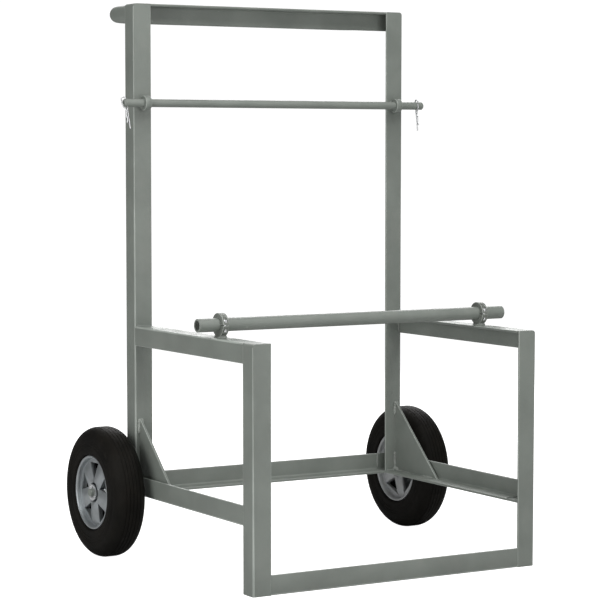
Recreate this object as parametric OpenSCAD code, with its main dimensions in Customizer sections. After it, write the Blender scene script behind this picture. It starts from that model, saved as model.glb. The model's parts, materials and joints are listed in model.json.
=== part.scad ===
// Two-wheeled reel dolly: a welded angle-iron frame on a through axle, with two cross rods in
// shaft collars. Floor at Z = 0, X across the frame, the open front faces -Y, the handle is at +Y.

/* [Frame] */
// Width over the outer faces of the uprights
frame_w = 629; // [300:1:1200]
// Height of the uprights above the floor
frame_h = 1100; // [700:1:1600]
// Front post's front face to the uprights' front face
reach = 478; // [250:1:900]
// Top of the upper side rails above the floor
rail_h = 462; // [300:1:700]
// Axle's centre above the underside of the lower side rails
axle_up = 4; // [1:0.5:20]

/* [Angle iron] */
// Length of each leg of the angle
leg = 38; // [20:0.5:75]
// Thickness of the angle
wall = 4.8; // [3:0.1:9]
// Radius inside the root of the angle
root_r = 4; // [1:0.5:8]
// Radius on the toes of the angle
toe_r = 2.4; // [0.5:0.1:4]
// Radius of the rounded outer top corners
corner_r = 6; // [1:0.5:15]

/* [Gussets] */
// Height of a gusset up the upright
gusset_h = 148; // [60:1:300]
// Length of a gusset along the lower rail
gusset_l = 159; // [60:1:300]
// Thickness of the gusset plate
gusset_t = 4.8; // [3:0.1:9]

/* [Handle] */
// Outside diameter of the handle tube
handle_d = 32; // [20:0.5:45]
// Wall of the handle tube
handle_wall = 2.5; // [1.5:0.1:5]
// Handle tube's centre line behind the top rail
handle_back = 110; // [70:1:200]
// Centre-line radius of the two bends
handle_bend = 45; // [30:1:90]

/* [Upper rod] */
// Diameter of the upper rod
upper_rod_d = 16; // [10:0.1:30]
// Height of the upper rod above the floor
upper_rod_h = 904; // [600:1:1400]
// Outside diameter of the upper collars
upper_collar_d = 28.6; // [20:0.1:60]
// Gap under an upper collar that its weld fills
upper_collar_gap = 1.7; // [0.5:0.1:6]
// How far the rod runs past the frame on the left
upper_left_over = 30; // [20:0.5:90]
// How far the rod runs past the frame on the right
upper_right_over = 41; // [20:0.5:90]
// Distance of the left hairpin hole from its end of the rod
pin_end_left = 6; // [5:0.5:7]
// Distance of the right hairpin hole outside the frame
pin_out_right = 25; // [15:0.5:33]
// Lean of the left hairpin hole from upright
pin_lean_left = 18; // [0:1:45]
// Lean of the right hairpin hole from upright
pin_lean_right = 9; // [0:1:45]

/* [Lower rod] */
// Outside diameter of the lower rod, a tube
lower_rod_d = 25.4; // [16:0.1:45]
// Wall of the lower rod
lower_rod_wall = 3.4; // [2:0.1:6]
// Centre of the lower rod behind the posts' front face
lower_rod_y = 157; // [80:1:400]
// How far the rod runs past the frame on each side
lower_over = 31; // [10:0.5:120]
// Outside diameter of the lower collars
lower_collar_d = 44.5; // [32:0.1:80]
// Gap under a lower collar that its weld fills
lower_collar_gap = 2.3; // [0.5:0.1:8]
// Gap between the two halves of a lower collar
split_gap = 1.6; // [0.6:0.1:4]

/* [Collars and hairpins] */
// Middle of the left collars inside the frame's outer face
collar_in_left = 19; // [12:0.5:26]
// Middle of the right collars inside the frame's outer face
collar_in_right = 23; // [12:0.5:26]
// Width of every collar
collar_w = 12.7; // [8:0.1:25]
// Radial running clearance of a rod in its collars
rod_clearance = 0.06; // [0.02:0.01:0.1]
// Diameter of the cap screws in the lower collars
screw_d = 5; // [3:0.5:8]
// Wire of the hairpins
hairpin_wire = 2.6; // [1.5:0.1:5]
// Length of a hairpin below the rod's centre
hairpin_drop = 53; // [40:1:90]
// Radial clearance of a hairpin in its hole
hairpin_clearance = 0.5; // [0.1:0.1:1.5]

/* [Wheels] */
// Diameter of the tyres
wheel_d = 260; // [150:1:400]
// Width of the tyres
tyre_w = 68; // [40:1:110]
// Rounding of the tyre's shoulders
shoulder_r = 25; // [8:1:33]
// Diameter of the rim where the tyre seats
rim_d = 137; // [80:1:260]
// Gap between the frame's side and the tyre
wheel_gap = 11.5; // [6:0.5:60]
// Sheet thickness of the pressed rim halves
sheet = 2; // [1.2:0.1:4]
// Width of the rim over its lips
rim_w = 62; // [30:1:100]
// Distance of each disc's outer face from the wheel's middle
disc_out = 14; // [6:0.5:40]
// Number of windows in each disc
windows = 5; // [3:1:8]

/* [Axle and hubs] */
// Diameter of the axle
axle_d = 16; // [10:0.1:30]
// Outside diameter of the hub tube
hub_d = 29; // [20:0.5:60]
// Wall of the hub tube
hub_wall = 2.5; // [1.5:0.1:6]
// Length of the hub tube
hub_l = 50; // [30:1:120]
// Radial running clearance of the axle in its bushes
axle_clearance = 0.06; // [0.02:0.01:0.1]
// Thickness of a bush's flange
bush_flange = 1.5; // [1:0.1:4]
// Thickness of the outer washers
washer_t = 2; // [1:0.1:4]
// End play beside each hub
end_play = 0.4; // [0.2:0.1:2]
// Diameter of the cotter pins
cotter_d = 3.2; // [2:0.1:6]

/* [Hidden] */
$fn = 96;
side_x = frame_w / 2;
axle_h = wheel_d / 2;
lower_h = axle_h - axle_up;
depth = reach + leg + axle_d / 2 + wheel_d / 2;
front = -depth / 2;
post_y = front;
up_y = front + reach;
back_y = up_y + leg;
axle_y = back_y + axle_d / 2;
gusset_in = wall + root_r + 0.3;
handle_z = frame_h - handle_d / 2;
handle_x = side_x - wall - handle_d / 2;
handle_y = back_y + handle_back;
upper_rod_y = up_y - upper_collar_d / 2 - upper_collar_gap;
lower_y = front + lower_rod_y;
lower_z = rail_h + lower_collar_d / 2 + lower_collar_gap;
pin_x_left = side_x + upper_left_over - pin_end_left;
pin_x_right = side_x + pin_out_right;
wheel_x = side_x + wheel_gap + tyre_w / 2;
bush_end = hub_l / 2 + bush_flange;
washer_in = bush_end + end_play;
cotter_at = washer_in + washer_t + end_play / 2 + cotter_d / 2;
axle_half = wheel_x + cotter_at + cotter_d / 2 + 2.4;
hub_bore = hub_d / 2 - hub_wall;
washer_d = hub_d + 4;
paint = [0.49, 0.53, 0.50];
zinc = [0.78, 0.79, 0.80];
steel = [0.72, 0.74, 0.76];
rubber = [0.10, 0.10, 0.10];
eps = 0.01;

function collar_x(side) = side * (side_x - (side < 0 ? collar_in_left : collar_in_right));

// Angle section with its heel at the origin and its legs along +X and +Y.
module angle_section() {
    difference() {
        union() {
            square([leg, wall]);
            square([wall, leg]);
            difference() {
                translate([wall - eps, wall - eps]) square(root_r + eps);
                translate([wall + root_r, wall + root_r]) circle(r = root_r);
            }
        }
        translate([leg - toe_r, wall - toe_r]) toe_cut();
        translate([wall - toe_r, leg - toe_r]) toe_cut();
    }
}

module toe_cut() {
    difference() {
        square(toe_r + 1);
        circle(r = toe_r);
    }
}

// A vertical angle: the heel is at the front outer corner, side is -1 for left or 1 for right.
module upright_angle(side, y, z_low, z_high) {
    difference() {
        translate([side * side_x, y, z_low])
            mirror([side > 0 ? 1 : 0, 0, 0])
                linear_extrude(z_high - z_low) angle_section();
        // rounded outer top corner, seen from the front
        translate([side * (side_x - corner_r), y - 1, z_high - corner_r])
            rotate([-90, 0, 0])
                linear_extrude(leg + 2)
                    mirror([side > 0 ? 0 : 1, 1, 0])
                        corner_cut();
    }
}

module corner_cut() {
    difference() {
        square(corner_r + 1);
        circle(r = corner_r);
    }
}

// Flat tongue that fills the corner behind a post's front leg, clear of the post's root.
module tongue(z) {
    translate([0, 0, z])
        linear_extrude(wall)
            polygon([[wall + root_r, wall], [leg, wall], [leg, leg + eps], [wall, leg + eps],
                     [wall, wall + root_r]]);
}

module place(side) {
    mirror([side > 0 ? 1 : 0, 0, 0]) translate([-side_x, front, 0]) children();
}

module upright(side) {
    color(paint) upright_angle(side, up_y, lower_h + wall, frame_h);
}

module front_post(side) {
    color(paint) upright_angle(side, post_y, 0, rail_h);
}

// Upper side rail: heel at the top outside, behind the post and in front of the upright.
module upper_side_rail(side) {
    color(paint) place(side) {
        translate([0, leg, rail_h])
            rotate([-90, 0, 0]) linear_extrude(reach - leg) angle_section();
        tongue(rail_h - wall);
    }
}

// Lower side rail: heel at the bottom outside; its flat runs on under the upright.
module lower_side_rail(side) {
    color(paint) place(side) {
        translate([0, reach, lower_h])
            rotate([90, 0, 0]) linear_extrude(reach - leg) angle_section();
        tongue(lower_h);
        translate([0, reach - eps, lower_h]) cube([leg, leg + eps, wall]);
    }
}

module gusset(side) {
    color(paint) place(side)
        translate([gusset_in, reach, lower_h + wall])
            rotate([0, 0, 90]) rotate([90, 0, 0])
                linear_extrude(gusset_t) polygon([[0, 0], [0, gusset_h], [-gusset_l, 0]]);
}

// Angle running across the frame with its heel at the lower back, facing front.
module cross_angle(half, y_heel, z_heel, up) {
    translate([-half, y_heel, z_heel])
        rotate([90, 0, 90])
            mirror([1, 0, 0]) mirror([0, up ? 0 : 1, 0])
                linear_extrude(2 * half) angle_section();
}

module rear_crossbar() {
    color(paint) {
        cross_angle(side_x - leg, back_y, lower_h, true);
        for (s = [-1, 1])
            translate([s > 0 ? side_x - leg - eps : -side_x + wall, back_y - wall, lower_h + wall])
                cube([leg - wall + eps, wall, leg - wall]);
    }
}

module top_rail() {
    color(paint) {
        cross_angle(side_x - leg, back_y, frame_h, false);
        for (s = [-1, 1]) mirror([s > 0 ? 1 : 0, 0, 0])
            translate([-side_x + wall, 0, 0]) {
                translate([0, back_y - wall, frame_h - leg])
                    cube([leg - wall + eps, wall, leg]);
                translate([root_r, up_y + wall + root_r, frame_h - wall])
                    cube([leg - wall - root_r + eps, leg - wall - root_r, wall]);
            }
    }
}

module front_crossbar() {
    color(paint)
        translate([-(side_x - leg), front, 0])
            rotate([90, 0, 90]) linear_extrude(2 * (side_x - leg)) angle_section();
}

// Part of a ring of round bar: it starts on +X and turns through angle towards +Y.
module bend(r, d, angle) {
    far = 2 * (r + d);
    intersection() {
        rotate_extrude() translate([r, 0]) circle(d = d);
        translate([0, 0, -d]) linear_extrude(2 * d)
            polygon(concat([[0, 0]], [for (i = [0 : 4]) far * [cos(angle * i / 4), sin(angle * i / 4)]]));
    }
}

// U-shaped handle tube, its ends butted on the back of the top rail.
module handle_shape(d) {
    straight = handle_y - handle_bend - back_y;
    for (s = [-1, 1]) mirror([s > 0 ? 1 : 0, 0, 0]) {
        translate([-handle_x, back_y, handle_z]) rotate([-90, 0, 0]) cylinder(d = d, h = straight);
        translate([-handle_x + handle_bend, handle_y - handle_bend, handle_z])
            rotate([0, 0, 90]) bend(handle_bend, d, 90);
    }
    translate([-handle_x + handle_bend, handle_y, handle_z])
        rotate([0, 90, 0]) cylinder(d = d, h = 2 * (handle_x - handle_bend));
}

module handle_bar() {
    color(paint) difference() {
        handle_shape(handle_d);
        handle_shape(handle_d - 2 * handle_wall);
    }
}

module axle() {
    color(paint) difference() {
        translate([-axle_half, axle_y, axle_h]) rotate([0, 90, 0]) rod_shape(axle_d, 2 * axle_half, 1);
        for (s = [-1, 1])
            translate([s * (wheel_x + cotter_at), axle_y, axle_h])
                cylinder(d = cotter_d + 0.4, h = axle_d + 2, center = true);
    }
}

// Round bar with both ends chamfered.
module rod_shape(d, l, c) {
    rotate_extrude()
        polygon([[0, 0], [d / 2 - c, 0], [d / 2, c], [d / 2, l - c], [d / 2 - c, l], [0, l]]);
}

module along_x(x) {
    translate([x, 0, 0]) rotate([0, 90, 0]) children();
}

// One-piece collar with the weld foot that holds it to the upright.
module upper_collar(side) {
    color(paint)
        translate([collar_x(side), upper_rod_y, upper_rod_h])
            difference() {
                union() {
                    rotate([0, 90, 0]) cylinder(d = upper_collar_d, h = collar_w, center = true);
                    translate([-collar_w / 2, 0, -upper_collar_d / 4])
                        cube([collar_w, up_y - upper_rod_y, upper_collar_d / 2]);
                }
                rotate([0, 90, 0])
                    cylinder(d = upper_rod_d + 2 * rod_clearance, h = collar_w + 2, center = true);
            }
}

module upper_rod() {
    left = -side_x - upper_left_over;
    color(paint) translate([0, upper_rod_y, upper_rod_h])
        difference() {
            along_x(left) rod_shape(upper_rod_d, frame_w + upper_left_over + upper_right_over, 2);
            for (s = [-1, 1])
                translate([s < 0 ? -pin_x_left : pin_x_right, 0, 0])
                    rotate([s < 0 ? -pin_lean_left : -pin_lean_right, 0, 0])
                        cylinder(d = hairpin_wire + 2 * hairpin_clearance, h = upper_rod_d + 4,
                            center = true);
        }
}

module lower_rod() {
    half = side_x + lower_over;
    color(paint) translate([0, lower_y, lower_z])
        difference() {
            along_x(-half) rod_shape(lower_rod_d, 2 * half, 0.8);
            along_x(-half - 1) cylinder(d = lower_rod_d - 2 * lower_rod_wall, h = 2 * half + 2);
        }
}

// Ring of a two-piece collar, cut by its screw holes and by the gap between the halves.
screw_y = (lower_collar_d + lower_rod_d) / 4 + 0.6;
head_d = screw_d * 1.7;
head_z = lower_collar_d * 0.12;
module collar_ring() {
    difference() {
        rotate([0, 90, 0]) cylinder(d = lower_collar_d, h = collar_w, center = true);
        rotate([0, 90, 0]) cylinder(d = lower_rod_d + 2 * rod_clearance, h = collar_w + 2, center = true);
        for (s = [-1, 1]) translate([0, s * screw_y, 0]) {
            translate([0, 0, -lower_collar_d * 0.3]) cylinder(d = screw_d + 0.4, h = lower_collar_d);
            translate([0, 0, head_z]) cylinder(d = head_d + 0.6, h = lower_collar_d);
        }
    }
}

module lower_collar_base(side) {
    color(paint) translate([collar_x(side), lower_y, lower_z]) {
        intersection() {
            collar_ring();
            translate([-collar_w, -lower_collar_d, -lower_collar_d - split_gap / 2])
                cube([2 * collar_w, 2 * lower_collar_d, lower_collar_d]);
        }
        // weld foot
        difference() {
            translate([-collar_w / 2, -lower_collar_d / 5, -lower_collar_d / 2 - lower_collar_gap])
                cube([collar_w, lower_collar_d * 0.4, lower_collar_gap + 3]);
            rotate([0, 90, 0])
                cylinder(d = lower_rod_d + 4, h = collar_w + 2, center = true);
        }
    }
}

module lower_collar_cap(side) {
    color(paint) translate([collar_x(side), lower_y, lower_z])
        intersection() {
            collar_ring();
            translate([-collar_w, -lower_collar_d, split_gap / 2])
                cube([2 * collar_w, 2 * lower_collar_d, lower_collar_d]);
        }
}

module collar_screws(side) {
    color(zinc) translate([collar_x(side), lower_y, lower_z])
        for (s = [-1, 1]) translate([0, s * screw_y, 0])
            difference() {
                union() {
                    translate([0, 0, -lower_collar_d * 0.28])
                        cylinder(d = screw_d, h = lower_collar_d * 0.28 + head_z + eps);
                    translate([0, 0, head_z]) cylinder(d = head_d, h = screw_d);
                }
                translate([0, 0, head_z + screw_d * 0.4])
                    cylinder(d = screw_d * 0.85, h = screw_d, $fn = 6);
            }
}

// Hairpin wire path: each step is [length, turn]; a turn of 0 is straight, otherwise the
// length is the bend's radius. Headings start upwards and a positive turn goes to the right.
// The wavy leg clears the rod, comes in under it to the straight leg, and flares at its tip.
leg_gap = upper_rod_d / 2 + hairpin_wire / 2 + 0.6;
bend_r = leg_gap / 2;
top_rise = upper_rod_d * 0.45;
wave_r = hairpin_drop / 4;
wave = [[bend_r, 180], [top_rise + bend_r * 0.4, 0], [leg_gap, 47], [bend_r * 0.38, 0],
    [bend_r * 1.5, -47], [wave_r, -18], [wave_r, 36], [wave_r, -36], [bend_r, 0]];
function turned(p, h, s) = s[1] == 0
    ? [p[0] + s[0] * sin(h), p[1] + s[0] * cos(h)]
    : let (k = s[1] > 0 ? 1 : -1)
      [p[0] + k * s[0] * (cos(h) - cos(h + s[1])), p[1] + k * s[0] * (sin(h + s[1]) - sin(h))];
function point_at(i) = i == 0 ? [0, top_rise] : turned(point_at(i - 1), heading_at(i - 1), wave[i - 1]);
function heading_at(i) = i == 0 ? 0 : heading_at(i - 1) + wave[i - 1][1];

module wire_step(p, h, s) {
    k = s[1] > 0 ? 1 : -1;
    // a bead a hair over the wire joins this step to the one before
    translate([p[0], 0, p[1]]) sphere(d = hairpin_wire * 1.02);
    translate([p[0], 0, p[1]]) rotate([0, h, 0])
        if (s[1] == 0) cylinder(d = hairpin_wire, h = s[0]);
        else translate([k * s[0], 0, 0]) rotate([90, 0, 0])
            rotate([0, 0, k > 0 ? 180 - s[1] : 0]) bend(s[0], hairpin_wire, abs(s[1]));
}

module hairpin_shape() {
    translate([0, 0, -hairpin_drop]) cylinder(d = hairpin_wire, h = hairpin_drop + top_rise);
    for (i = [0 : len(wave) - 1]) wire_step(point_at(i), heading_at(i), wave[i]);
}

module hairpin_left() {
    color(zinc) translate([-pin_x_left, upper_rod_y, upper_rod_h])
        rotate([-pin_lean_left, 0, 0]) rotate([0, 0, 180]) hairpin_shape();
}

module hairpin_right() {
    color(zinc) translate([pin_x_right, upper_rod_y, upper_rod_h])
        rotate([-pin_lean_right, 0, 0]) rotate([0, 0, -90]) hairpin_shape();
}

// Wheel pieces are turned about the axle; out points away from the frame.
module at_wheel(side) {
    translate([side * wheel_x, axle_y, axle_h]) rotate([0, side * 90, 0]) children();
}

groove = 1.8;
module tyre(side) {
    r = wheel_d / 2;
    color(rubber) at_wheel(side)
        rotate_extrude($fn = 128) difference() {
            union() {
                translate([rim_d / 2, -tyre_w / 2]) square([r - shoulder_r - rim_d / 2, tyre_w]);
                translate([r - shoulder_r - eps, -tyre_w / 2 + shoulder_r])
                    square([shoulder_r + eps, tyre_w - 2 * shoulder_r]);
                for (s = [-1, 1])
                    translate([r - shoulder_r, s * (tyre_w / 2 - shoulder_r)]) circle(r = shoulder_r);
            }
            for (i = [-1 : 1])
                translate([r - groove, i * tyre_w * 0.1 - groove / 2]) square([groove + 1, groove]);
            // bore for the rim, which also ends a tall shoulder
            translate([-1, -tyre_w]) square([rim_d / 2 + 1, 2 * tyre_w]);
            // seats for the rim lips
            for (s = [-1, 1])
                translate([rim_d / 2 - eps, s > 0 ? rim_w / 2 - sheet : -tyre_w / 2 - 1])
                    square([sheet * 3 + eps, tyre_w / 2 - rim_w / 2 + sheet + 1]);
        }
}

module window_cut() {
    r_in = hub_d / 2 + 9;
    r_out = rim_d / 2 - 9;
    half = 180 / windows - 9;
    for (i = [0 : windows - 1]) rotate([0, 0, i * 360 / windows])
        linear_extrude(rim_w)
            polygon([[r_in, 0], [r_out * cos(half), r_out * sin(half)], [r_out, 0],
                     [r_out * cos(half), -r_out * sin(half)]]);
}

// One pressed half of the rim: lip, barrel and dished disc with its windows.
module rim_half() {
    difference() {
        rotate_extrude($fn = 128) difference() {
            union() {
                translate([rim_d / 2 - sheet, 0]) square([sheet, rim_w / 2]);
                translate([rim_d / 2 - sheet, rim_w / 2 - sheet]) square([sheet * 3.6, sheet]);
                translate([hub_d / 2, disc_out - sheet]) square([rim_d / 2 - hub_d / 2 - eps, sheet]);
            }
        }
        window_cut();
    }
}

module rim_outer(side) { color(zinc) at_wheel(side) rim_half(); }
module rim_inner(side) { color(zinc) at_wheel(side) mirror([0, 0, 1]) rim_half(); }

module ring(d_out, d_in, z, h) {
    translate([0, 0, z]) difference() {
        cylinder(d = d_out, h = h);
        translate([0, 0, -1]) cylinder(d = d_in, h = h + 2);
    }
}

module hub_tube(side) {
    color(zinc) at_wheel(side) ring(hub_d, 2 * hub_bore, -hub_l / 2, hub_l);
}

module hub_bushes(side) {
    bore = axle_d + 2 * axle_clearance;
    color([0.12, 0.12, 0.12]) at_wheel(side)
        for (s = [0, 1]) mirror([0, 0, s]) difference() {
            union() {
                translate([0, 0, hub_l / 2 - 14]) cylinder(r = hub_bore, h = 14 + eps);
                translate([0, 0, hub_l / 2]) cylinder(d = hub_d - 1, h = bush_flange);
            }
            translate([0, 0, hub_l / 2 - 15]) cylinder(d = bore, h = 15 + bush_flange + 1);
        }
}

// Collar welded on the axle between the frame and the hub.
module thrust_collar(side) {
    color(steel) at_wheel(side)
        ring(hub_d, axle_d, side_x + 1 - wheel_x, wheel_x - side_x - 1 - bush_end - end_play);
}

module axle_washer(side) {
    color(zinc) at_wheel(side) ring(washer_d, axle_d + 0.1, washer_in, washer_t);
}

module cotter_pin(side) {
    eye = cotter_d * 0.9;
    color(zinc) translate([side * (wheel_x + cotter_at), axle_y, axle_h]) {
        translate([0, 0, -axle_d * 0.75]) cylinder(d = cotter_d, h = axle_d * 1.3, $fn = 32);
        translate([0, 0, axle_d / 2 + 1.4 + eye])
            rotate([0, 90, 0]) rotate_extrude($fn = 48)
                translate([eye, 0]) circle(d = cotter_d * 0.55, $fn = 24);
    }
}

module upright_left() { upright(-1); }
module upright_right() { upright(1); }
module upper_side_rail_left() { upper_side_rail(-1); }
module upper_side_rail_right() { upper_side_rail(1); }
module lower_side_rail_left() { lower_side_rail(-1); }
module lower_side_rail_right() { lower_side_rail(1); }
module front_post_left() { front_post(-1); }
module front_post_right() { front_post(1); }
module gusset_left() { gusset(-1); }
module gusset_right() { gusset(1); }
module upper_collar_left() { upper_collar(-1); }
module upper_collar_right() { upper_collar(1); }
module lower_collar_base_left() { lower_collar_base(-1); }
module lower_collar_base_right() { lower_collar_base(1); }
module lower_collar_cap_left() { lower_collar_cap(-1); }
module lower_collar_cap_right() { lower_collar_cap(1); }
module collar_screws_left() { collar_screws(-1); }
module collar_screws_right() { collar_screws(1); }
module tyre_left() { tyre(-1); }
module tyre_right() { tyre(1); }
module rim_outer_left() { rim_outer(-1); }
module rim_outer_right() { rim_outer(1); }
module rim_inner_left() { rim_inner(-1); }
module rim_inner_right() { rim_inner(1); }
module hub_tube_left() { hub_tube(-1); }
module hub_tube_right() { hub_tube(1); }
module hub_bushes_left() { hub_bushes(-1); }
module hub_bushes_right() { hub_bushes(1); }
module thrust_collar_left() { thrust_collar(-1); }
module thrust_collar_right() { thrust_collar(1); }
module axle_washer_left() { axle_washer(-1); }
module axle_washer_right() { axle_washer(1); }
module cotter_pin_left() { cotter_pin(-1); }
module cotter_pin_right() { cotter_pin(1); }

upright_left();
upright_right();
top_rail();
handle_bar();
upper_side_rail_left();
upper_side_rail_right();
lower_side_rail_left();
lower_side_rail_right();
rear_crossbar();
front_post_left();
front_post_right();
front_crossbar();
gusset_left();
gusset_right();
axle();
upper_collar_left();
upper_collar_right();
upper_rod();
hairpin_left();
hairpin_right();
lower_collar_base_left();
lower_collar_base_right();
lower_collar_cap_left();
lower_collar_cap_right();
collar_screws_left();
collar_screws_right();
lower_rod();
tyre_left();
tyre_right();
rim_outer_left();
rim_outer_right();
rim_inner_left();
rim_inner_right();
hub_tube_left();
hub_tube_right();
hub_bushes_left();
hub_bushes_right();
thrust_collar_left();
thrust_collar_right();
axle_washer_left();
axle_washer_right();
cotter_pin_left();
cotter_pin_right();
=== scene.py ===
# Reel dolly: looks for the welded frame, its two rods, collars, hairpins and wheels.
import json
import math
import random

import bmesh
import bpy
from mathutils import Matrix, Vector


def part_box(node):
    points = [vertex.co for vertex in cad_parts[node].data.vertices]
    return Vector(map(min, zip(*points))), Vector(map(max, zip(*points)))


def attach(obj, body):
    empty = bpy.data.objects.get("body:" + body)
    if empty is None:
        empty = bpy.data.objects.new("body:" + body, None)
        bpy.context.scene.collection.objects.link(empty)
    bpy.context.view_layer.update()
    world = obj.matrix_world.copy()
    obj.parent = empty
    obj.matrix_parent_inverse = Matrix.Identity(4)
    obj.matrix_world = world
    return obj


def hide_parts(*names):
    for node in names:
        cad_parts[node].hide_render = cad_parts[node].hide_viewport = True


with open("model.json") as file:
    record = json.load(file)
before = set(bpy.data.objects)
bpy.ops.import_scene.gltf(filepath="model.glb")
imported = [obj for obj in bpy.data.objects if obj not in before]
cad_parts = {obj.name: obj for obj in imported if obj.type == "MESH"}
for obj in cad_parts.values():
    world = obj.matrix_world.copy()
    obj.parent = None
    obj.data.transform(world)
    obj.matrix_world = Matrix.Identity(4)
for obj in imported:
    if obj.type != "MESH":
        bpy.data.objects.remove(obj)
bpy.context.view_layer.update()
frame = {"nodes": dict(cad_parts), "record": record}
nodes = frame["nodes"]
MM = 0.001
FULL_TURN = 2 * math.pi
MERGE = 1e-6  # points closer than this many metres are one point


# ---------------------------------------------------------------- shared shader effects

def new_group(name, inputs, outputs):
    """A shader node group with its sockets, and its input and output nodes."""
    tree = bpy.data.node_groups.new(name, "ShaderNodeTree")
    kinds = {"value": "NodeSocketFloat", "colour": "NodeSocketColor", "vector": "NodeSocketVector"}
    for label, kind, default in inputs:
        socket = tree.interface.new_socket(label, in_out="INPUT", socket_type=kinds[kind])
        socket.default_value = default
    for label, kind in outputs:
        tree.interface.new_socket(label, in_out="OUTPUT", socket_type=kinds[kind])
    return tree, tree.nodes.new("NodeGroupInput"), tree.nodes.new("NodeGroupOutput")


def noise(tree, vector, detail, rough=0.55):
    node = tree.nodes.new("ShaderNodeTexNoise")
    node.inputs["Detail"].default_value = detail
    node.inputs["Roughness"].default_value = rough
    tree.links.new(vector, node.inputs["Vector"])
    return node


def maths(tree, operation, first, second):
    node = tree.nodes.new("ShaderNodeMath")
    node.operation = operation
    for socket, value in zip(node.inputs, (first, second)):
        if isinstance(value, (int, float)):
            socket.default_value = value
        else:
            tree.links.new(value, socket)
    return node.outputs[0]


def weighed(tree, first, share, second, other_share):
    """The sum of two values, each times its own share."""
    return maths(tree, "ADD", maths(tree, "MULTIPLY", first, share),
                 maths(tree, "MULTIPLY", second, other_share))


def span(tree, value, low, high, to_low=0.0, to_high=1.0):
    """Value mapped from low..high to to_low..to_high, clamped."""
    node = tree.nodes.new("ShaderNodeMapRange")
    node.interpolation_type = "SMOOTHSTEP"
    tree.links.new(value, node.inputs["Value"])
    limits = {"From Min": low, "From Max": high, "To Min": to_low, "To Max": to_high}
    for label, number in limits.items():
        if isinstance(number, (int, float)):
            node.inputs[label].default_value = number
        else:
            tree.links.new(number, node.inputs[label])
    return node.outputs["Result"]


def mix_colour(tree, mask, first, second):
    node = tree.nodes.new("ShaderNodeMix")
    node.data_type = "RGBA"
    tree.links.new(mask, node.inputs["Factor"])
    for socket, colour in ((node.inputs[6], first), (node.inputs[7], second)):
        if isinstance(colour, tuple):
            socket.default_value = colour
        else:
            tree.links.new(colour, socket)
    return node.outputs[2]


def make_cloud_group():
    """Slow clouds and fine grain over the surface, as sprayed enamel or moulded rubber has."""
    tree, given, out = new_group(
        "clouds_and_grain",
        [("Cloud Scale", "value", 9.0), ("Grain Scale", "value", 420.0)],
        [("Cloud", "value"), ("Grain", "value")],
    )
    place = tree.nodes.new("ShaderNodeTexCoord").outputs["Object"]
    cloud = noise(tree, place, detail=4.0)
    grain = noise(tree, place, detail=2.0)
    tree.links.new(given.outputs["Cloud Scale"], cloud.inputs["Scale"])
    tree.links.new(given.outputs["Grain Scale"], grain.inputs["Scale"])
    tree.links.new(span(tree, cloud.outputs["Fac"], 0.32, 0.68), out.inputs["Cloud"])
    tree.links.new(span(tree, grain.outputs["Fac"], 0.25, 0.75), out.inputs["Grain"])
    return tree


def make_dust_group():
    """Where dust settles: patchy, and more on what faces up."""
    tree, given, out = new_group(
        "settled_dust",
        [("Patch Scale", "value", 14.0), ("Reach", "value", 0.5)],
        [("Dust", "value")],
    )
    place = tree.nodes.new("ShaderNodeTexCoord").outputs["Object"]
    patches = noise(tree, place, detail=6.0, rough=0.62)
    tree.links.new(given.outputs["Patch Scale"], patches.inputs["Scale"])
    turn = tree.nodes.new("ShaderNodeSeparateXYZ")
    tree.links.new(tree.nodes.new("ShaderNodeNewGeometry").outputs["Normal"], turn.inputs[0])
    upward = span(tree, turn.outputs["Z"], -0.6, 1.0, 0.25, 1.0)
    patchy = span(tree, patches.outputs["Fac"], 0.42, 0.78)
    dust = maths(tree, "MULTIPLY", maths(tree, "MULTIPLY", patchy, upward), given.outputs["Reach"])
    tree.links.new(dust, out.inputs["Dust"])
    return tree


def make_scuff_group():
    """Sparse fine scratches and rubs, stretched along the piece."""
    tree, given, out = new_group(
        "scuffs",
        [("Size", "value", 60.0), ("Stretch", "vector", (1.0, 1.0, 1.0)), ("Bare", "value", 0.62)],
        [("Scuff", "value")],
    )
    place = tree.nodes.new("ShaderNodeTexCoord").outputs["Object"]
    stretched = tree.nodes.new("ShaderNodeVectorMath")
    stretched.operation = "MULTIPLY"
    tree.links.new(place, stretched.inputs[0])
    tree.links.new(given.outputs["Stretch"], stretched.inputs[1])
    rubs = noise(tree, stretched.outputs[0], detail=8.0, rough=0.7)
    tree.links.new(given.outputs["Size"], rubs.inputs["Scale"])
    low, softness = given.outputs["Bare"], 0.06
    high = maths(tree, "ADD", low, softness)
    tree.links.new(span(tree, rubs.outputs["Fac"], low, high), out.inputs["Scuff"])
    return tree


CLOUDS = make_cloud_group()
DUST = make_dust_group()
SCUFFS = make_scuff_group()


def place_group(tree, group, **settings):
    node = tree.nodes.new("ShaderNodeGroup")
    node.node_tree = group
    for label, value in settings.items():
        node.inputs[label.replace("_", " ")].default_value = value
    return node


def new_material(name):
    """An empty material with a Principled shader, its tree and the shader node."""
    material = bpy.data.materials.new(name)
    material.use_nodes = True
    tree = material.node_tree
    tree.nodes.clear()
    shader = tree.nodes.new("ShaderNodeBsdfPrincipled")
    out = tree.nodes.new("ShaderNodeOutputMaterial")
    tree.links.new(shader.outputs["BSDF"], out.inputs["Surface"])
    return material, tree, shader


def add_bump(tree, shader, height, distance):
    bump = tree.nodes.new("ShaderNodeBump")
    bump.inputs["Distance"].default_value = distance
    tree.links.new(height, bump.inputs["Height"])
    tree.links.new(bump.outputs["Normal"], shader.inputs["Normal"])


# ---------------------------------------------------------------- finishes

def weathering(tree, cloud_scale, grain_scale, patch_scale, reach):
    """Cloud, grain and dust over a surface, at one finish's own scales."""
    clouds = place_group(tree, CLOUDS, Cloud_Scale=cloud_scale, Grain_Scale=grain_scale)
    dust = place_group(tree, DUST, Patch_Scale=patch_scale, Reach=reach)
    return clouds.outputs["Cloud"], clouds.outputs["Grain"], dust.outputs["Dust"]


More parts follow.
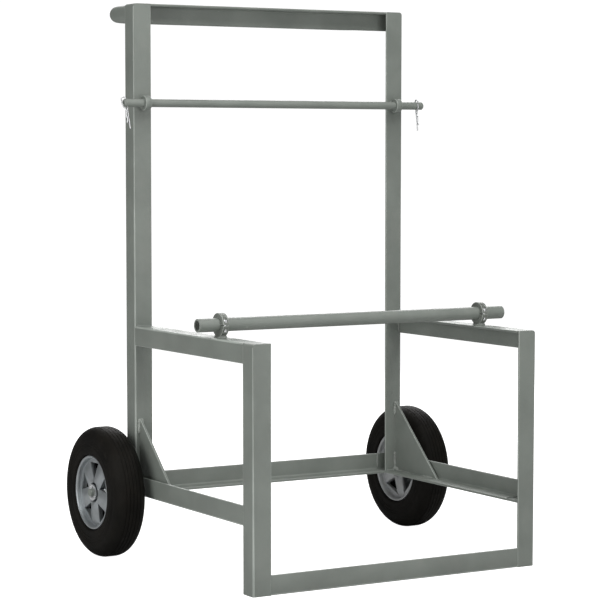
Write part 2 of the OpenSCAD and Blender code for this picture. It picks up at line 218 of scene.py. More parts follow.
def enamel(name, light, dark, peel, bare, gloss=0.40):
    """Satin sprayed enamel: slow tone clouds, orange peel, thin rubbed spots and a little dust."""
    dust_grey, rubbed_grey, rub_share = (0.30, 0.30, 0.275, 1), (0.36, 0.39, 0.36, 1), 0.55
    material, tree, shader = new_material(name)
    cloud, grain, dust = weathering(tree, 11.0, 520.0, 17.0, 0.30)
    rubs = place_group(tree, SCUFFS, Size=46.0, Bare=bare).outputs["Scuff"]
    tone = mix_colour(tree, cloud, (*dark, 1), (*light, 1))
    dusty = mix_colour(tree, dust, tone, dust_grey)
    rubbed = mix_colour(tree, maths(tree, "MULTIPLY", rubs, rub_share), dusty, rubbed_grey)
    tree.links.new(rubbed, shader.inputs["Base Color"])
    sheen = weighed(tree, cloud, 0.10, dust, 0.5)
    tree.links.new(maths(tree, "ADD", sheen, gloss), shader.inputs["Roughness"])
    shader.inputs["IOR"].default_value = 1.5
    add_bump(tree, shader, grain, peel)
    return material


def zinc(name, bright, dull, rough, spangle):
    """Zinc plate: a faint crystal spangle, fine grain and a few dull patches."""
    dust_grey, grain_height = (0.34, 0.33, 0.31, 1), 0.04 * MM
    material, tree, shader = new_material(name)
    cloud, grain, dust = weathering(tree, 38.0, 900.0, 30.0, 0.35)
    crystals = tree.nodes.new("ShaderNodeTexVoronoi")
    place = tree.nodes.new("ShaderNodeTexCoord").outputs["Object"]
    tree.links.new(place, crystals.inputs["Vector"])
    crystals.inputs["Scale"].default_value = spangle
    facet = tree.nodes.new("ShaderNodeSeparateColor")
    tree.links.new(crystals.outputs["Color"], facet.inputs[0])
    cast = weighed(tree, cloud, 0.7, facet.outputs[0], 0.3)
    tone = mix_colour(tree, cast, (*dull, 1), (*bright, 1))
    tree.links.new(mix_colour(tree, dust, tone, dust_grey), shader.inputs["Base Color"])
    shader.inputs["Metallic"].default_value = 0.85
    haze = weighed(tree, cast, 0.12, dust, 0.4)
    tree.links.new(maths(tree, "ADD", haze, rough), shader.inputs["Roughness"])
    add_bump(tree, shader, grain, grain_height)
    return material


def rubber(name):
    """Matt black rubber with a warm bloom, fine grain and dust rubbed into the tread."""
    deep, pale = (0.0046, 0.0043, 0.0035, 1), (0.0088, 0.0080, 0.0065, 1)
    bloom, worn, worn_share = (0.017, 0.0135, 0.0100, 1), (0.014, 0.013, 0.0115, 1), 0.5
    base_roughness, grain_height = 0.58, 0.16 * MM
    material, tree, shader = new_material(name)
    cloud, grain, dust = weathering(tree, 16.0, 700.0, 22.0, 0.55)
    scuffs = place_group(tree, SCUFFS, Size=34.0, Bare=0.60).outputs["Scuff"]
    bloomed = mix_colour(tree, dust, mix_colour(tree, cloud, deep, pale), bloom)
    scuffed = mix_colour(tree, maths(tree, "MULTIPLY", scuffs, worn_share), bloomed, worn)
    tree.links.new(scuffed, shader.inputs["Base Color"])
    rough = weighed(tree, grain, 0.12, dust, 0.25)
    tree.links.new(maths(tree, "ADD", rough, base_roughness), shader.inputs["Roughness"])
    shader.inputs["IOR"].default_value = 1.5
    shader.inputs["Specular IOR Level"].default_value = 0.10
    add_bump(tree, shader, grain, grain_height)
    return material


def drawn_steel(name):
    """Cold drawn bar with lengthwise marks and thin oil stain."""
    dark, light, stain = (0.30, 0.30, 0.30, 1), (0.46, 0.46, 0.45, 1), (0.22, 0.20, 0.17, 1)
    stain_share, mark_roughness, base_roughness, mark_height = 0.4, 0.2, 0.30, 0.05 * MM
    material, tree, shader = new_material(name)
    clouds = place_group(tree, CLOUDS, Cloud_Scale=30.0, Grain_Scale=800.0)
    scuffs = place_group(tree, SCUFFS, Size=240.0, Stretch=(0.05, 1.0, 1.0), Bare=0.50)
    marks = scuffs.outputs["Scuff"]
    tone = mix_colour(tree, clouds.outputs["Cloud"], dark, light)
    stained = mix_colour(tree, maths(tree, "MULTIPLY", marks, stain_share), tone, stain)
    tree.links.new(stained, shader.inputs["Base Color"])
    shader.inputs["Metallic"].default_value = 1.0
    rough = maths(tree, "MULTIPLY", marks, mark_roughness)
    tree.links.new(maths(tree, "ADD", rough, base_roughness), shader.inputs["Roughness"])
    add_bump(tree, shader, marks, mark_height)
    return material


def nylon(name):
    """Moulded black nylon with a fine spark-eroded grain and a grease bloom."""
    black, greased, grain_height = (0.012, 0.012, 0.012, 1), (0.03, 0.029, 0.027, 1), 0.06 * MM
    material, tree, shader = new_material(name)
    clouds = place_group(tree, CLOUDS, Cloud_Scale=60.0, Grain_Scale=1400.0)
    cloud = clouds.outputs["Cloud"]
    tree.links.new(mix_colour(tree, cloud, black, greased), shader.inputs["Base Color"])
    tree.links.new(span(tree, cloud, 0.0, 1.0, 0.38, 0.6), shader.inputs["Roughness"])
    add_bump(tree, shader, clouds.outputs["Grain"], grain_height)
    return material


FINISH = {
    "enamel": enamel("grey_green_enamel", light=(0.214, 0.236, 0.213), dark=(0.184, 0.203, 0.183),
                     peel=0.10 * MM, bare=0.66),
    # lighter enamel for eased arrises: painted highlight along the heels, partly thin enamel on the
    # edges
    "edge": enamel("thin_enamel_on_edges", light=(0.42, 0.455, 0.42), dark=(0.32, 0.35, 0.32),
                   peel=0.08 * MM, bare=0.60, gloss=0.36),
    # lighter enamel over weld runs: painted highlight on the weld lumps
    "weld": enamel("enamel_over_weld", light=(0.33, 0.355, 0.325), dark=(0.17, 0.185, 0.17),
                   peel=0.35 * MM, bare=0.58, gloss=0.30),
    # darker enamel on the lower collars: painted shade of their slits and pockets
    "collar": enamel("enamel_over_black_collar", light=(0.205, 0.222, 0.200),
                     dark=(0.085, 0.090, 0.080), peel=0.16 * MM, bare=0.60, gloss=0.34),
    "wheel": zinc("zinc_on_pressed_rim", bright=(0.47, 0.50, 0.515), dull=(0.35, 0.375, 0.385),
                  rough=0.36, spangle=520.0),
    # inner halves get their own copy of the rim zinc, toned and roughened apart to match their
    # shaded look: painted shade
    "wheel_back": zinc("dull_zinc_inside_rim", bright=(0.56, 0.575, 0.58), dull=(0.42, 0.43, 0.435),
                       rough=0.50, spangle=520.0),
    "bright": zinc("bright_zinc_plate", bright=(0.78, 0.79, 0.80), dull=(0.62, 0.63, 0.64),
                   rough=0.20, spangle=900.0),
    "rubber": rubber("black_tyre_rubber"),
    "steel": drawn_steel("drawn_axle_steel"),
    "nylon": nylon("moulded_nylon"),
}
SLOT_FINISH = {"frame_paint": "enamel", "tyre_rubber": "rubber", "wheel_zinc": "wheel",
               "bright_zinc": "bright", "axle_steel": "steel", "bush_plastic": "nylon"}


# ---------------------------------------------------------------- shop helpers

def finish_piece(name, bm, finish, body, replaced=(), smooth=32):
    """Turns a bmesh into a piece at the origin, riding on its body."""
    mesh = bpy.data.meshes.new(name)
    bm.to_mesh(mesh)
    bm.free()
    for polygon in mesh.polygons:
        polygon.use_smooth = True
    mesh.set_sharp_from_angle(angle=math.radians(smooth))
    piece = bpy.data.objects.new(name, mesh)
    bpy.context.scene.collection.objects.link(piece)
    mesh.materials.append(FINISH[finish])
    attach(piece, body)
    if replaced:
        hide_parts(*replaced)
    return piece


def sweep(bm, path, radii, sides):
    """Round bar along a path, with one radius for each of its points and both ends closed."""
    rings = []  # each ring's edges
    for i, point in enumerate(path):
        ahead = path[min(i + 1, len(path) - 1)] - path[max(i - 1, 0)]
        turn = ahead.to_track_quat("Z", "Y").to_matrix().to_4x4()
        made = bmesh.ops.create_circle(bm, segments=sides, radius=radii[i],
                                       matrix=Matrix.Translation(point) @ turn)
        rings.append({e for v in made["verts"] for e in v.link_edges})
    for first, second in zip(rings, rings[1:]):
        bmesh.ops.bridge_loops(bm, edges=list(first | second))
    for ring in (rings[0], rings[-1]):
        bmesh.ops.contextual_create(bm, geom=list(ring))


def points_between(start, end, step):
    start, end = Vector(start), Vector(end)
    count = max(2, round((end - start).length / step))
    return [start.lerp(end, i / count) for i in range(count + 1)]


def weld_bead(bm, path, radius, chance):
    """A run of weld: overlapping ripples, uneven in width, tapering into the metal at its ends."""
    last = len(path) - 1
    radii = []  # full ripples and slimmer ones take turns
    for i in range(len(path)):
        taper = min(1.0, 0.45 + 0.3 * min(i, last - i))
        ripple = 1.0 if i % 2 else 0.84
        radii.append(radius * taper * ripple * chance.uniform(0.9, 1.12))
    wander = [p + Vector([chance.uniform(-0.12, 0.12) * radius for _ in range(3)]) for p in path]
    sweep(bm, wander, radii, 8)


def spin_round(bm, outline, steps):
    """Spins an outline's vertices and edges once about the Z axis."""
    bmesh.ops.spin(bm, geom=outline, cent=(0, 0, 0), axis=(0, 0, 1), dvec=(0, 0, 0),
                   angle=FULL_TURN, steps=steps, use_merge=True, use_normal_flip=False,
                   use_duplicate=False)
    bmesh.ops.remove_doubles(bm, verts=bm.verts, dist=MERGE)


def wheel_place(side):
    """Turns Z into the wheel's outward axis, about the tyre's middle."""
    low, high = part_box(f"tyre_{side}")
    out = -1 if side == "left" else 1
    return Matrix.Translation((low + high) / 2) @ Matrix.Rotation(out * math.pi / 2, 4, "Y")


# ---------------------------------------------------------------- tyres

def radius_of(point):
    return math.hypot(point.x, point.y)


def centre_radius(face):
    return radius_of(face.calc_center_median())


def tyre_outline(bm, corners, wall, tread_radius, wall_foot):
    """A tyre's section with its shoulders and beads rounded and its walls cut into rings."""
    shoulder, bead, wall_cuts = 25 * MM, 3.5 * MM, 11
    face = bm.faces.new([bm.verts.new((r, 0, z)) for r, z in corners])
    tread = [v for v in face.verts if v.co.x > tread_radius - MM]
    bmesh.ops.bevel(bm, geom=tread, offset=shoulder, offset_type="OFFSET", segments=12,
                    profile=0.5, affect="VERTICES", material=-1)
    inner = [v for v in bm.verts if abs(v.co.x - wall_foot) < 0.1 * MM]
    bmesh.ops.bevel(bm, geom=inner, offset=bead, offset_type="OFFSET", segments=4,
                    profile=0.5, affect="VERTICES", material=-1)
    walls = [e for e in bm.edges
             if abs(abs((e.verts[0].co.z + e.verts[1].co.z) / 2) - wall) < 0.01 * MM]
    bmesh.ops.subdivide_edges(bm, edges=walls, cuts=wall_cuts)
    # only the outline is spun: the wall-to-wall edges that the subdivision added go with the faces
    crossing = [e for e in bm.edges if len(e.link_faces) > 1]
    bmesh.ops.delete(bm, geom=crossing, context="EDGES")
    bmesh.ops.delete(bm, geom=list(bm.faces), context="FACES_ONLY")


def cut_grooves(bm, crown):
    """Fine tread grooves, each cut between two planes, on what lies farther out than the crown."""
    groove, depth, pitch, rows = 1.2 * MM, 1.0 * MM, 7.4 * MM, range(-2, 3)
    for i in rows:
        for edge in (-0.5, 0.5):
            plane = i * pitch + edge * groove
            bmesh.ops.bisect_plane(bm, geom=bm.verts[:] + bm.edges[:] + bm.faces[:], dist=1e-7,
                                   plane_co=(0, 0, plane), plane_no=(0, 0, 1))
    cut = [f for f in bm.faces if centre_radius(f) > crown
           and any(abs(f.calc_center_median().z - i * pitch) < groove * 0.45 for i in rows)]
    bmesh.ops.inset_region(bm, faces=cut, thickness=0.25 * MM, depth=-depth, use_even_offset=True)


def raise_rings(bm, wall, ridge):
    """Raised rings on both walls."""
    wall_faces = [f for f in bm.faces if abs(f.normal.z) > 0.99
                  and abs(abs(f.calc_center_median().z) - wall) < 0.05 * MM]
    radii = sorted({round(centre_radius(f), 5) for f in wall_faces})
    raised = [radii[-2], radii[-4], radii[-7]]  # counted inward from the shoulder
    rings = [f for f in wall_faces if any(abs(centre_radius(f) - r) < 0.1 * MM for r in raised)]
    bmesh.ops.inset_region(bm, faces=rings, thickness=0.5 * MM, depth=ridge, use_even_offset=True)


def make_tyre(side):
    low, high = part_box(f"tyre_{side}")
    outer, half = (high.z - low.z) / 2, (high.x - low.x) / 2
    rim_low, rim_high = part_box(f"rim_outer_{side}")
    lip = (rim_high.z - rim_low.z) / 2
    ridge = 0.55 * MM
    seat, seat_half = lip - 3.0 * MM, half - 8 * MM
    wall, wall_foot = half - ridge, lip + 2 * MM
    corners = [(seat, seat_half), (lip + 1.2 * MM, seat_half), (wall_foot, wall), (outer, wall)]
    corners += [(r, -z) for r, z in reversed(corners)]
    bm = bmesh.new()
    tyre_outline(bm, corners, wall, outer, wall_foot)
    spin_round(bm, bm.verts[:] + bm.edges[:], 112)
    bmesh.ops.recalc_face_normals(bm, faces=bm.faces)
    cut_grooves(bm, outer - 14 * MM)
    raise_rings(bm, wall, ridge)
    bmesh.ops.transform(bm, matrix=wheel_place(side), verts=bm.verts)
    finish_piece(f"tyre_body_{side}", bm, "rubber", f"wheel_{side}",
                 [f"tyre_{side}"])


# ---------------------------------------------------------------- pressed rims

WINDOWS = 5
SECTOR = FULL_TURN / WINDOWS
STEPS_PER_WINDOW = 24
SHEET = 1.8 * MM
WELL, TOP, ROOT = 11.0 * MM, 25.5 * MM, 19.0 * MM  # heights: recess at the hub, arms' ends
# the inner halves take the zinc copy toned for their shade, painted shade
RIM_FINISH = {"outer": "wheel", "inner": "wheel_back"}
FLANGE = {"outer": 8.0 * MM, "inner": 5.0 * MM}  # how deep a window's edge is pressed in
SPREAD = {"outer": math.radians(18), "inner": math.radians(26)}  # half a window's angle
WINDOW_TURN = {"left": 2, "right": 58}  # where each wheel stopped rolling, in degrees
HALF_TURN = {"outer": 0, "inner": 36}  # the inner half's windows lie behind the outer's arms


def rim_section(hub, collar, barrel, lip, half_width):
    """One pressed half as points (radius, along): hub recess, arm, barrel and rolled lip."""
    arm_foot, outer_arm, arm_steps = collar + 1.6 * MM, barrel - 5 * MM, 12
    barrel_foot, edge = ROOT + 4 * MM, half_width - 4 * MM
    section = [(hub + 0.2 * MM, WELL + 2 * MM), (hub + 0.4 * MM, WELL),
               (collar - 1.2 * MM, WELL), (collar, WELL + 2 * MM),
               (collar + 0.3 * MM, TOP - 1 * MM), (arm_foot, TOP)]
    for i in range(1, arm_steps):
        t = i / arm_steps
        section.append((arm_foot + t * (outer_arm - arm_foot), TOP - t * (TOP - ROOT - 2 * MM)))
    section += [(barrel - 3.2 * MM, ROOT + 1.2 * MM), (barrel - 1.2 * MM, ROOT + 1.6 * MM),
                (barrel, barrel_foot)]
    section += [(barrel + i * 0.1 * MM, barrel_foot + (edge - barrel_foot) * i / 4)
                for i in range(1, 5)]
    section += [(barrel + 1.2 * MM, edge + 2.0 * MM), (barrel + 2.8 * MM, edge + 3.1 * MM),
                (lip - 1.3 * MM, edge + 3.1 * MM), (lip - SHEET * 0.55, edge + 2.2 * MM),
                (lip - SHEET * 0.5, edge + 1.0 * MM)]
    return section


def crown_arms(bm, collar, outer_arm):
    """Crowns each arm, lowest in the middle of each window."""
    height = 6.0 * MM
    for v in bm.verts:
        r = radius_of(v.co)
        if collar + 1.7 * MM < r < outer_arm + 0.5 * MM and v.co.z > ROOT + 1.9 * MM:
            angle = (math.atan2(v.co.y, v.co.x) / SECTOR) % 1.0
            from_arm = 1 - abs(angle - 0.5) * 2
            rise = math.sin(math.pi * (r - collar) / (outer_arm - collar)) ** 0.8
            v.co.z += (min(1.0, from_arm * 1.15) - 0.5) * height * rise


def web_faces(bm, middle, low, high):
    """Faces around one window's middle line whose centres lie between two radii."""
    def near(face):
        return (middle.transposed() @ face.calc_center_median()).x > 0.6 * centre_radius(face)

    return [f for f in bm.faces if near(f) and low < centre_radius(f) < high]


def cut_window(bm, n, collar, barrel, outer_arm, half):
    """Bisects along a window's three sides, opens it and presses its edge in."""
    apex, base, spread = collar + 5 * MM, outer_arm - 3 * MM, SPREAD[half]
    middle = Matrix.Rotation(n * SECTOR, 3, "Z")
    tip = middle @ Vector((apex, 0, 0))
    sides = []  # a point and the outward normal of each side
    for hand in (-1, 1):
        corner = middle @ Vector((base * math.cos(spread), hand * base * math.sin(spread), 0))
        along = (corner - tip).normalized()
        sides.append((tip, along.cross(Vector((0, 0, 1))) * -hand))
    sides.append((middle @ Vector((base * math.cos(spread) + 2 * MM, 0, 0)),
                  middle @ Vector((1, 0, 0))))
    for point, normal in sides:
        zone = web_faces(bm, middle, collar, barrel - 3.0 * MM)
        geom = set(zone) | {e for f in zone for e in f.edges} | {v for f in zone for v in f.verts}
        bmesh.ops.bisect_plane(bm, geom=list(geom), dist=1e-6, plane_co=point, plane_no=normal)
    inside = []
    for f in web_faces(bm, middle, collar, barrel - 3.0 * MM):
        centre = f.calc_center_median()
        centre.z = 0
        if all((centre - point).dot(normal) < 0 for point, normal in sides):
            inside.append(f)
    rim_edges = {e for f in inside for e in f.edges if any(g not in inside for g in e.link_faces)}
    bmesh.ops.delete(bm, geom=inside, context="FACES")
    rim_edges = [e for e in rim_edges if e.is_valid]
    made = bmesh.ops.extrude_edge_only(bm, edges=rim_edges)["geom"]
    lowered = [g for g in made if isinstance(g, bmesh.types.BMVert)]
    heart = middle @ Vector(((apex + base) * 0.54, 0, 0))
    for v in lowered:
        toward = (heart - v.co) * 0.16
        v.co += Vector((toward.x, toward.y, -FLANGE[half]))


def make_rim_half(side, half):
    """One pressed half: rolled lip, barrel, five crowned arms and five flanged windows."""
    low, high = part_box(f"rim_{half}_{side}")
    tyre_low, tyre_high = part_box(f"tyre_{side}")
    hub_low, hub_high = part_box(f"hub_tube_{side}")
    lip, hub = (high.z - low.z) / 2, (hub_high.z - hub_low.z) / 2
    half_width = max(abs(v - (tyre_low.x + tyre_high.x) / 2) for v in (low.x, high.x))
    barrel, collar = lip - 5.4 * MM, hub + 5.5 * MM
    outer_arm = barrel - 5 * MM
    bm = bmesh.new()
    section = rim_section(hub, collar, barrel, lip, half_width)
    verts = [bm.verts.new((r, 0, z)) for r, z in section]
    edges = [bm.edges.new(pair) for pair in zip(verts, verts[1:])]
    spin_round(bm, verts + edges, WINDOWS * STEPS_PER_WINDOW)
    crown_arms(bm, collar, outer_arm)
    for n in range(WINDOWS):
        cut_window(bm, n, collar, barrel, outer_arm, half)
    bmesh.ops.remove_doubles(bm, verts=bm.verts, dist=2 * MERGE)
    turned = math.radians(WINDOW_TURN[side] + HALF_TURN[half])
    bmesh.ops.rotate(bm, verts=bm.verts, cent=(0, 0, 0), matrix=Matrix.Rotation(turned, 3, "Z"))
    if half == "inner":
        bmesh.ops.scale(bm, verts=bm.verts, vec=(1, 1, -1))
    bmesh.ops.transform(bm, matrix=wheel_place(side), verts=bm.verts)
    bmesh.ops.recalc_face_normals(bm, faces=bm.faces)
    piece = finish_piece(f"rim_pressing_{half}_{side}", bm, RIM_FINISH[half], f"wheel_{side}",
                         [f"rim_{half}_{side}"], smooth=28)
    thick = piece.modifiers.new("sheet_thickness", "SOLIDIFY")
    thick.thickness = SHEET
    thick.offset = 0
    thick.use_even_offset = False


for side in ("left", "right"):
    make_tyre(side)
    for half in ("outer", "inner"):
        make_rim_half(side, half)


# ---------------------------------------------------------------- frame members and CAD finishes

HEEL = 3.0 * MM  # easing of the rolled angle's heel
BROAD = 25 * MM  # both faces at a heel are broader than this
ARRIS = 0.9 * MM  # easing of sheared and sawn edges
LONG, SHARP = 60 * MM, math.radians(50)  # shorter or flatter edges are not eased
ANGLE_NAMES = ("upright", "front_post", "front_crossbar", "rear_crossbar", "top_rail",
               "upper_side", "lower_side")


def eased_member(node):
    """A frame member with its long arrises eased, where the enamel lies thin; the eased faces take
    a lighter enamel that paints the highlight along the heels.
    """
    rolled = node.name.startswith(ANGLE_NAMES)
    easings = ((HEEL, BROAD), (ARRIS, 0)) if rolled else ((ARRIS, 0),)
    bm = bmesh.new()
    bm.from_mesh(node.data)
    bmesh.ops.remove_doubles(bm, verts=bm.verts, dist=MERGE)
    bmesh.ops.dissolve_limit(bm, angle_limit=math.radians(0.4), verts=bm.verts, edges=bm.edges)
    for size, narrowest in easings:
        arrises = [e for e in bm.edges if len(e.link_faces) == 2 and e.is_convex
                   and e.calc_length() > LONG and e.calc_face_angle() > SHARP
                   and min(f.calc_area() / e.calc_length() for f in e.link_faces) > narrowest]
        bmesh.ops.bevel(bm, geom=arrises, offset=size, offset_type="OFFSET", segments=3,
                        profile=0.5, affect="EDGES", clamp_overlap=False, material=1)
    bmesh.ops.dissolve_degenerate(bm, dist=MERGE, edges=bm.edges)
    bmesh.ops.recalc_face_normals(bm, faces=bm.faces)
    piece = finish_piece(f"{node.name}_eased", bm, "enamel", "frame", [node.name],
                         smooth=30)
    # the eased faces (material 1) take the lighter edge enamel: painted highlight
    piece.data.materials.append(FINISH["edge"])


def ease_collar(node):
    """Eased edges on a collar, which keeps its CAD mesh; the bevel faces take the lighter edge
    enamel, a painted highlight.
    """
    seam = node.modifiers.new("join_triangles", "WELD")
    seam.merge_threshold = MERGE
    ease = node.modifiers.new("eased_edges", "BEVEL")
    ease.width = 0.7 * MM
    ease.segments = 2
    ease.limit_method = "ANGLE"
    ease.angle_limit = SHARP
    ease.use_clamp_overlap = False
    ease.material = 1


for subpart in frame["record"]["subparts"]:
    name, cad_slot = subpart["node"], subpart["material_slot"]
    node = nodes[name]
    node.data.materials.clear()
    # lower collars take the darker collar enamel, painted shade
    look = "collar" if "lower_collar" in name else SLOT_FINISH[cad_slot]
    node.data.materials.append(FINISH[look])
    if "_collar" in name and cad_slot == "frame_paint":
        # the collar's bevel faces take the lighter edge enamel: painted highlight
        node.data.materials.append(FINISH["edge"])
        ease_collar(node)
    elif name.startswith(ANGLE_NAMES + ("gusset",)):
        eased_member(node)


# ---------------------------------------------------------------- weld runs

LEG_WALL = 4.8 * MM  # thickness of the angle's legs
WELD_STEP = 1.9 * MM  # from one ripple to the next
THIN_BEAD = 2.4 * MM
AXLE_WELDS, AXLE_WELD_LENGTH = (30, 120, 215), 46  # starts from the middle, in mm


def arc_points(centre, first, second, radius, start, end, steps):
    """Points on an arc about centre, in the plane of two unit directions, in degrees."""
    angles = [math.radians(start + (end - start) * i / steps) for i in range(steps + 1)]
    return [centre + (first * math.cos(a) + second * math.sin(a)) * radius for a in angles]


def frame_runs(hand):
    """Weld runs of the frame on one hand, as paths and bead radii, from the right side's boxes."""
    up_low, up_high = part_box("upright_right")
    post_low, post_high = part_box("front_post_right")
    rail_low, rail_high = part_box("upper_side_rail_right")
    low_rail_low, low_rail_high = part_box("lower_side_rail_right")
    cross_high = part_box("rear_crossbar")[1]
    plate_low, plate_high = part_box("gusset_right")
    tube_low, tube_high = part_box("handle_bar")
    axle_low, axle_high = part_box("axle")
    outer, inner = up_high.x, up_low.x
    web = outer - LEG_WALL - 0.8 * MM
    shelf = low_rail_low.z + LEG_WALL
    shelf_bead, plate_bead = shelf + 0.5 * MM, shelf + 0.8 * MM
    before_upright, behind_post = up_low.y - 1 * MM, post_high.y + 1 * MM
    before_cross = cross_high.y - LEG_WALL - 1 * MM
    runs = []

    def run(start, end, radius=THIN_BEAD):
        first, last = ((hand * x, y, z) for x, y, z in (start, end))
        runs.append((points_between(first, last, WELD_STEP), radius))

    def sideways(y, z, start, end, radius=THIN_BEAD):
        run((start, y, z), (end, y, z), radius)

    def back_along(x, z, start, end):
        run((x, start, z), (x, end, z))

    def upward(x, y, start, end, radius=THIN_BEAD):
        run((x, y, start), (x, y, end), radius)

    # upper rail to upright and to post
    sideways(up_low.y - 0.2 * MM, rail_high.z, outer - 2 * MM, inner + 1 * MM)
    upward(web, before_upright, rail_low.z + 2 * MM, rail_high.z - 8 * MM)
    upward(web, behind_post, rail_low.z + 2 * MM, rail_high.z - 8 * MM)
    # lower rail to post and to upright
    sideways(behind_post, shelf_bead, outer - 8 * MM, inner + 1 * MM)
    upward(web, behind_post, shelf + 6 * MM, low_rail_high.z - 1 * MM)
    sideways(before_upright, shelf_bead, outer - 15 * MM, inner + 1 * MM)
    # gusset plate to upright, in two runs a side, and to the lower rail
    for face in (plate_low.x - 0.6 * MM, plate_high.x + 0.6 * MM):
        upward(face, before_upright, plate_high.z - 30 * MM, plate_high.z - 1 * MM, 4.0 * MM)
        upward(face, before_upright, shelf + 6 * MM, shelf + 40 * MM, 3.4 * MM)
        run((face, up_low.y + 3 * MM, shelf + 3 * MM),
            (face, up_low.y - 15 * MM, shelf + 2 * MM), 5.5 * MM)
        back_along(face, plate_bead, plate_low.y + 16 * MM, plate_low.y + 52 * MM)
        back_along(face, plate_bead, up_low.y - 58 * MM, up_low.y - 14 * MM)
    # front crossbar to post, behind and on its shelf
    upward(inner, post_low.y + LEG_WALL + 1 * MM, 7 * MM, 36 * MM)
    back_along(inner, LEG_WALL + 0.6 * MM, post_low.y + 9 * MM, post_high.y - 2 * MM)
    # crossbar and top rail between the uprights
    upward(inner, before_cross, shelf + 5 * MM, cross_high.z - 1 * MM)
    upward(web, before_cross, up_high.z - 36 * MM, up_high.z - 10 * MM)
    # handle tube to the top rail, all round but the flush top
    tube_radius, tube_height = 16.4 * MM, (tube_low.z + tube_high.z) / 2
    middle = Vector((hand * (outer - LEG_WALL - 16 * MM), cross_high.y + 0.5 * MM, tube_height))
    ring = arc_points(middle, Vector((0, 0, 1)), Vector((1, 0, 0)), tube_radius, 36, 324, 46)
    runs.append((ring, THIN_BEAD))
    # axle to the rear crossbar, in short runs
    for where in AXLE_WELDS:
        for above in (-1, 1):
            height = (axle_low.z + axle_high.z) / 2 + above * 5.2 * MM
            sideways(cross_high.y + 1.2 * MM, height, where * MM,
                     (where + AXLE_WELD_LENGTH) * MM, 2.9 * MM)
    return runs


def collar_runs(side):
    """Weld runs at the feet of one side's collars, as paths and bead radii."""
    runs = []

    def run(start, end, radius):
        runs.append((points_between(start, end, WELD_STEP), radius))

    # upper collar: both flanks and above and below its foot
    low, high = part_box(f"upper_collar_{side}")
    centre_z, flank_y, foot_y = (low.z + high.z) / 2, high.y - 0.8 * MM, high.y - 1.6 * MM
    for x in (low.x - 0.4 * MM, high.x + 0.4 * MM):
        run((x, flank_y, centre_z - 8 * MM), (x, flank_y, centre_z + 8 * MM), 2.6 * MM)
    for up in (-1, 1):
        height = centre_z + up * 8.2 * MM
        run((low.x, foot_y, height), (high.x, foot_y, height), 3.2 * MM)
    # lower collar: flared foot on the rail
    low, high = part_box(f"lower_collar_base_{side}")
    rail_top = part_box("upper_side_rail_right")[1].z
    centre_y, flank_z = (low.y + high.y) / 2, rail_top + 0.8 * MM
    for x in (low.x - 0.4 * MM, high.x + 0.4 * MM):
        run((x, centre_y - 11 * MM, flank_z), (x, centre_y + 11 * MM, flank_z), 2.8 * MM)
    for way in (-1, 1):
        for rise, spread in ((1.0, 11.5), (3.4, 10.2)):
            y, z = centre_y + way * spread * MM, rail_top + rise * MM
            run((low.x - 0.5 * MM, y, z), (high.x + 0.5 * MM, y, z), 2.9 * MM)
    return runs


def make_welds():
    chance = random.Random(11)
    bm = bmesh.new()
    for hand, side in ((-1, "left"), (1, "right")):
        for path, radius in frame_runs(hand) + collar_runs(side):
            weld_bead(bm, path, radius, chance)
    bmesh.ops.recalc_face_normals(bm, faces=bm.faces)
    # the weld runs take the lighter weld enamel, a painted highlight
    finish_piece("frame_weld_runs", bm, "weld", "frame", smooth=60)


# ---------------------------------------------------------------- split cotter pins

def make_split_pin(side):
    """A wire bent round an eye, with its legs side by side through the axle and spread below."""
    low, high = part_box(f"cotter_pin_{side}")
    axle_low, axle_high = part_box("axle")
    middle = Vector(((low.x + high.x) / 2, (axle_low.y + axle_high.y) / 2,
                     (axle_low.z + axle_high.z) / 2))
    wire, neck, eye = 0.78 * MM, 9.4 * MM, 2.5 * MM
    over, up = Vector((0, 1, 0)), Vector((0, 0, 1))
    leg = [(4.6, -11.2), (3.0, -10.2), (1.5, -9.4), (0.85, -8.6), (0.8, -4), (0.8, 2)]
    path = [middle + over * y * MM + up * z * MM for y, z in leg]
    path += arc_points(middle + up * (neck + eye + 0.6 * MM), over, up, eye, -66, 246, 20)
    path += [middle - over * y * MM + up * z * MM for y, z in reversed(leg)]
    bm = bmesh.new()
    sweep(bm, path, [wire] * len(path), 10)
    bmesh.ops.recalc_face_normals(bm, faces=bm.faces)
    finish_piece(f"split_pin_{side}", bm, "bright", "frame",
                 [f"cotter_pin_{side}"], smooth=50)


make_welds()
for side in ("left", "right"):
    make_split_pin(side)


# ---------------------------------------------------------------- floor, light and camera

def make_floor():
    shade, pale = (0.50, 0.50, 0.495, 1), (0.53, 0.53, 0.53, 1)
    bm = bmesh.new()
    bmesh.ops.create_circle(bm, cap_ends=True, segments=96, radius=40.0)
    mesh = bpy.data.meshes.new("studio_floor")
    bm.to_mesh(mesh)
    bm.free()
    floor = bpy.data.objects.new("studio_floor", mesh)
    bpy.context.scene.collection.objects.link(floor)
    material, tree, shader = new_material("pale_studio_floor")
    clouds = place_group(tree, CLOUDS, Cloud_Scale=0.7, Grain_Scale=60.0)
    tree.links.new(mix_colour(tree, clouds.outputs["Cloud"], shade, pale),
                   shader.inputs["Base Color"])
    shader.inputs["Roughness"].default_value = 0.9
    shader.inputs["Specular IOR Level"].default_value = 0.1
    # seen by the camera, the floor glows, so that it is as pale as the backdrop
    glow = tree.nodes.new("ShaderNodeEmission")
    glow.inputs["Strength"].default_value = 1.0
    seen = tree.nodes.new("ShaderNodeMixShader")
    both = tree.nodes.new("ShaderNodeAddShader")
    tree.links.new(shader.outputs[0], both.inputs[0])
    tree.links.new(glow.outputs[0], both.inputs[1])
    by_camera = tree.nodes.new("ShaderNodeLightPath").outputs["Is Camera Ray"]
    tree.links.new(by_camera, seen.inputs[0])
    tree.links.new(shader.outputs[0], seen.inputs[1])
    tree.links.new(both.outputs[0], seen.inputs[2])
    out = next(n for n in tree.nodes if n.type == "OUTPUT_MATERIAL")
    tree.links.new(seen.outputs[0], out.inputs["Surface"])
    mesh.materials.append(material)


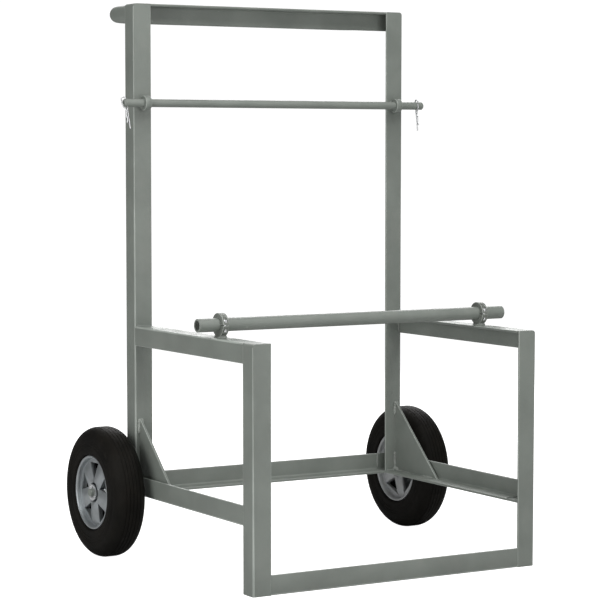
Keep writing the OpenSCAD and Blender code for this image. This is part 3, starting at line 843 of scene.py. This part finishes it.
def make_world(backdrop, ambient):
    """A white world, at one strength for the camera and another for the light it gives."""
    world = bpy.data.worlds.new("studio")
    bpy.context.scene.world = world
    world.use_nodes = True
    tree = world.node_tree
    tree.nodes.clear()
    out = tree.nodes.new("ShaderNodeOutputWorld")
    seen = tree.nodes.new("ShaderNodeBackground")
    lighting = tree.nodes.new("ShaderNodeBackground")
    for background, strength in ((seen, backdrop), (lighting, ambient)):
        background.inputs["Color"].default_value = (1, 1, 1, 1)
        background.inputs["Strength"].default_value = strength
    mix = tree.nodes.new("ShaderNodeMixShader")
    by_camera = tree.nodes.new("ShaderNodeLightPath").outputs["Is Camera Ray"]
    tree.links.new(by_camera, mix.inputs[0])
    tree.links.new(lighting.outputs[0], mix.inputs[1])
    tree.links.new(seen.outputs[0], mix.inputs[2])
    tree.links.new(mix.outputs[0], out.inputs[0])


def soft_box(name, azimuth, elevation, distance, size, watts, aim):
    """A square soft light standing at that bearing from the aim, facing it."""
    a, e = math.radians(azimuth), math.radians(elevation)
    back = Vector((math.sin(a) * math.cos(e), -math.cos(a) * math.cos(e), math.sin(e)))
    light = bpy.data.lights.new(name, "AREA")
    light.shape = "SQUARE"
    light.size = size
    light.energy = watts
    lamp = bpy.data.objects.new(name, light)
    bpy.context.scene.collection.objects.link(lamp)
    lamp.location = Vector(aim) + back * distance
    lamp.visible_camera = False
    lamp.rotation_mode = "QUATERNION"
    lamp.rotation_quaternion = (-back).to_track_quat("-Z", "Y")


def make_camera(place, tilt, bearing, lens, sensor):
    """A level camera, tilted down and turned clockwise by those angles in degrees."""
    camera_data = bpy.data.cameras.new("studio_camera")
    camera = bpy.data.objects.new("studio_camera", camera_data)
    bpy.context.scene.collection.objects.link(camera)
    camera_data.lens = lens
    camera_data.sensor_width = sensor
    camera.location = place
    camera.rotation_euler = (math.radians(90 - tilt), 0, math.radians(-bearing))
    bpy.context.scene.camera = camera


make_floor()
make_world(backdrop=1.05, ambient=0.16)
soft_box("front_softbox", 15, 13, 2.0, 1.3, 13, aim=(-0.55, -0.1, 0.48))
soft_box("left_softbox", -78, 10, 1.6, 1.2, 16, aim=(-0.35, 0.0, 0.5))
soft_box("overhead_softbox", 10, 62, 3.0, 2.0, 66, aim=(-0.2, 0, 0.6))
soft_box("back_softbox", 150, 28, 3.2, 2.4, 75, aim=(0.1, 0, 0.5))
make_camera(place=(-2.3108, -3.8810, 0.8172), tilt=3.855, bearing=30.516, lens=136.06, sensor=36)
bpy.context.scene.view_settings.view_transform = "Standard"
